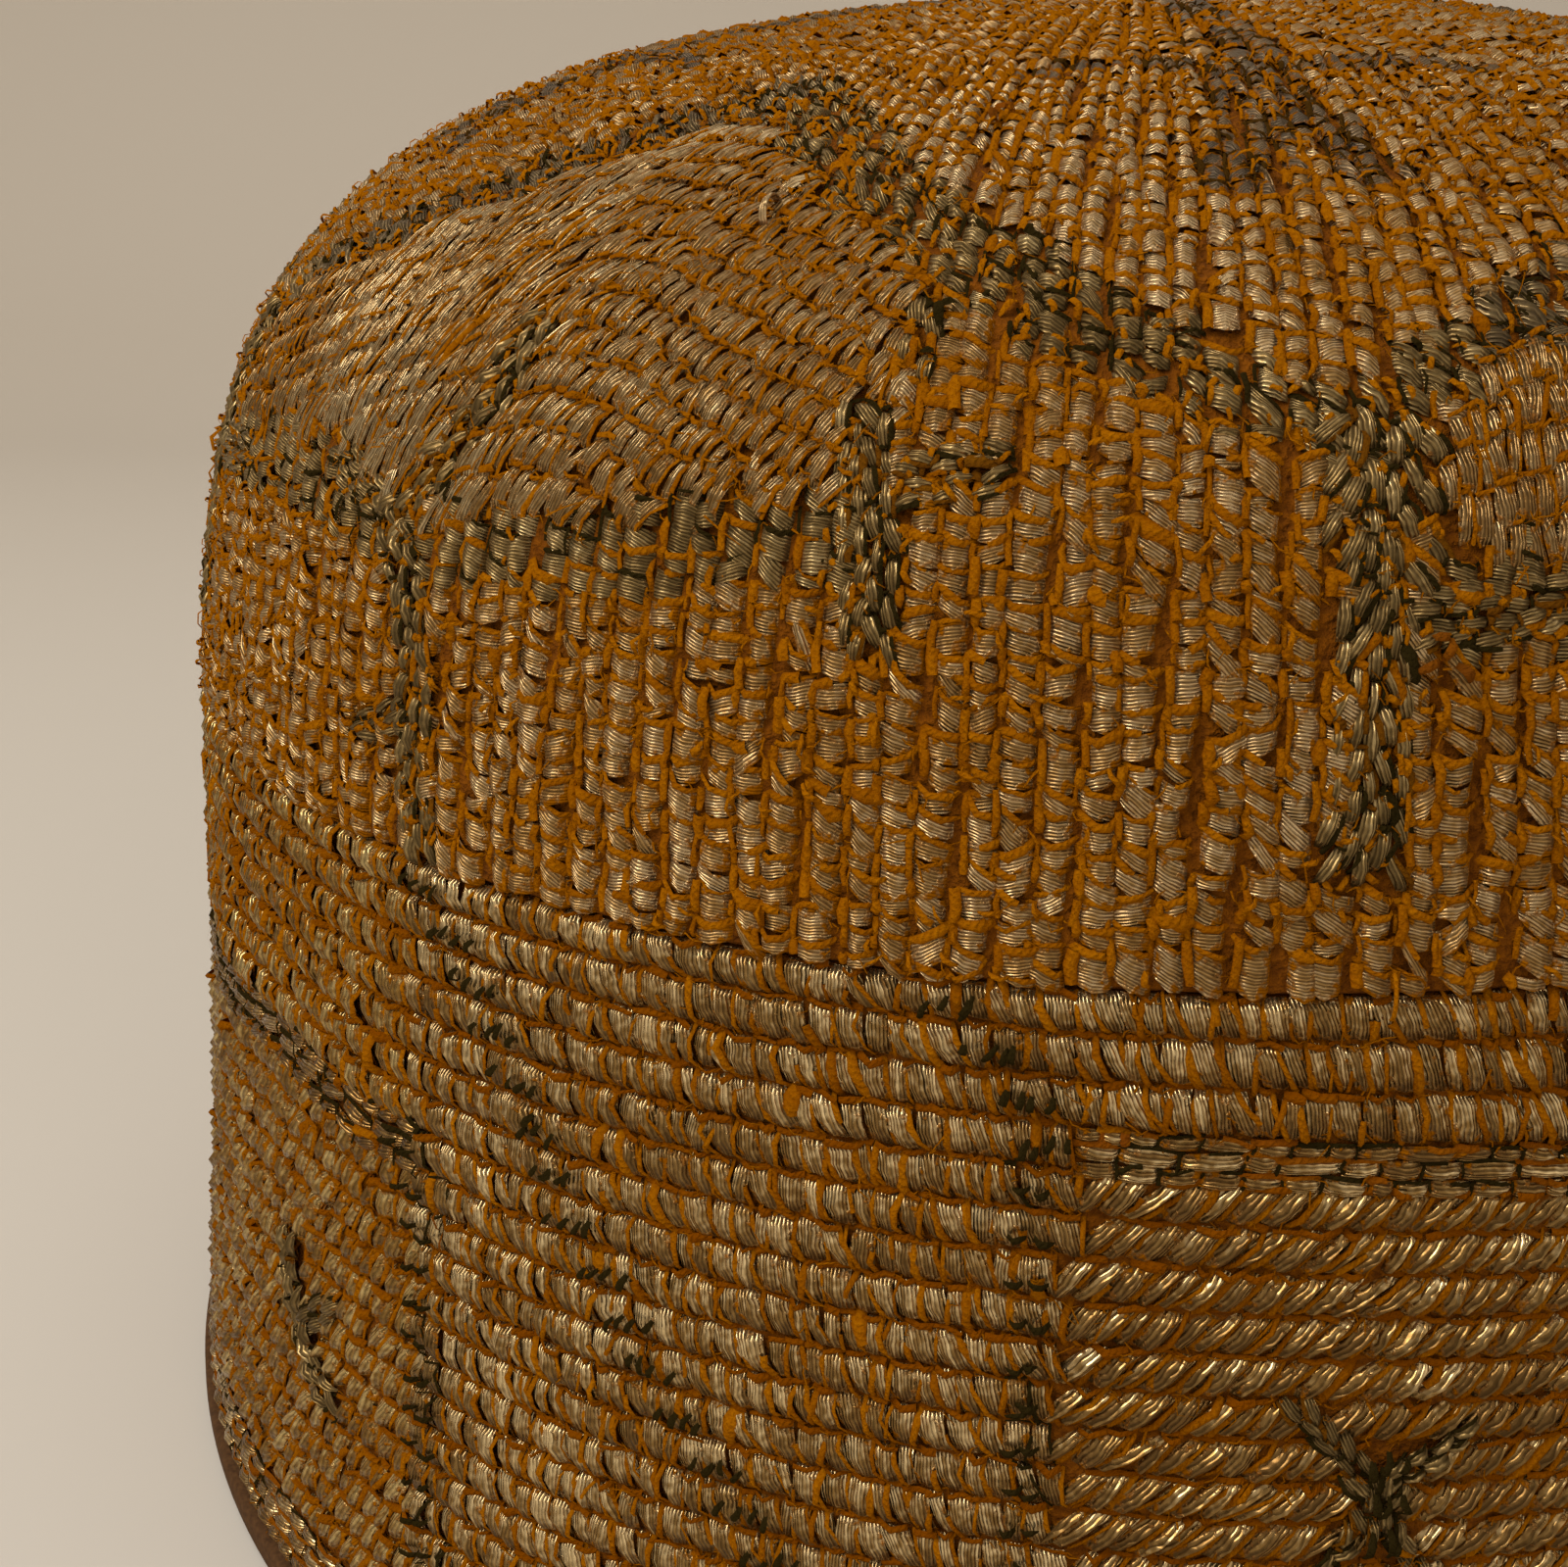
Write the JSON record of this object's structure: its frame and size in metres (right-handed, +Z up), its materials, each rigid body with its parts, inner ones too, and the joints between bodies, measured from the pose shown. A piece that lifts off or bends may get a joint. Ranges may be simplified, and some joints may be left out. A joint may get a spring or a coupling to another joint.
{
  "type": "kolla hat",
  "caption": "Stiff round cap with a domed crown and a tall corded side band, covered all over in laid gold-coloured metal thread, open below for the head.",
  "frame": {"origin": "on the hat's axis, on the surface that the rim stands on", "axes": "+Z up along the hat's axis, towards the top of the crown; -Y towards the side that the picture shows"},
  "size_m": [0.1766, 0.1784, 0.1187],
  "materials": {
    "crown_embroidery": "tarnished laid metal thread with orange couching",
    "band_embroidery": "tarnished laid metal thread over padded cords",
    "edge_binding": "plain matt woven cloth"
  },
  "bodies": {
    "root": {"crown": "crown_embroidery", "band": "band_embroidery", "hem_binding": "edge_binding"}
  },
  "joints": []
}
